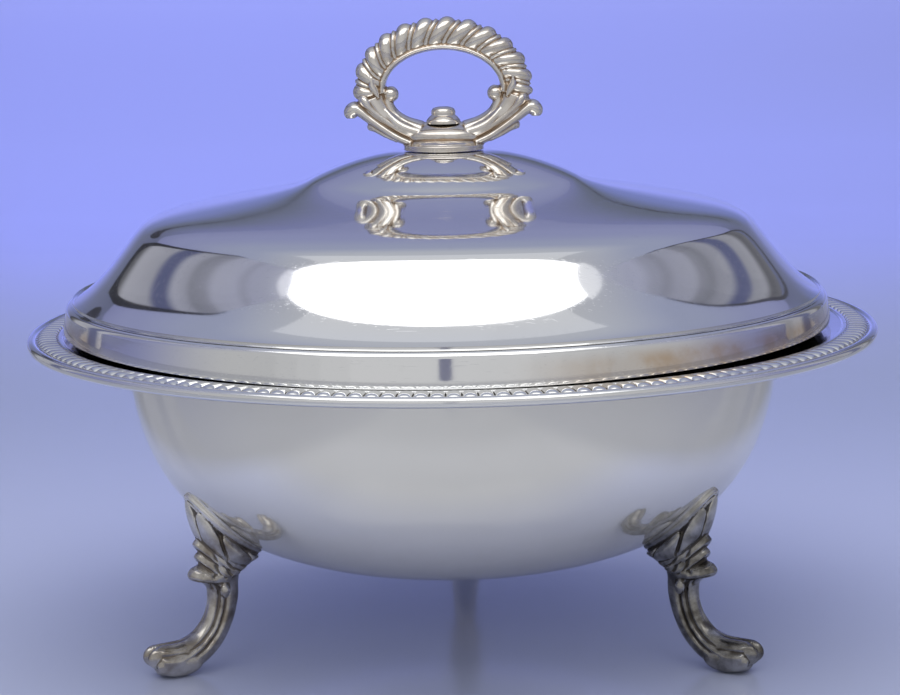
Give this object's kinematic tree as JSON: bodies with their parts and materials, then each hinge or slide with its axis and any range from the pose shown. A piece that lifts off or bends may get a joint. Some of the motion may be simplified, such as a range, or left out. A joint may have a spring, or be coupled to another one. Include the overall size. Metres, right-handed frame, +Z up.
{
  "type": "covered vegetable dish",
  "caption": "Round silver-plated covered serving dish on cast cabriole legs, with a gadroon-bordered flange and a double-domed lid that lifts off by a lobed loop handle.",
  "frame": {"origin": "middle of the dish's footprint on the table", "axes": "+Z up, +X to the right along the handle's loop, -Y to the front between the two front legs"},
  "size_m": [0.2924, 0.2924, 0.216],
  "materials": {
    "bowl_silver": "worn satin silver plate with fine scratches",
    "border_silver": "bright silver plate, darkened in the grooves",
    "leg_silver": "cast silver plate with brown tarnish in the recesses",
    "lid_silver": "mirror-polished silver plate with faint tarnish on the band",
    "handle_silver": "cast silver plate with warm tarnish in the grooves",
    "fastener_brass": "plain turned brass"
  },
  "bodies": {
    "dish": {"bowl": "bowl_silver", "gadroon_border": "border_silver", "leg_back": "leg_silver", "leg_left": "leg_silver", "leg_right": "leg_silver"},
    "lid": {"lid": "lid_silver", "handle": "handle_silver", "handle_bolt": "handle_silver", "washer": "fastener_brass", "nut": "fastener_brass"}
  },
  "joints": [
    {"name": "lid_lift", "type": "slide", "parent": "dish", "child": "lid", "axis": [0, 0, 1], "range_m": [0, 0.15]}
  ]
}
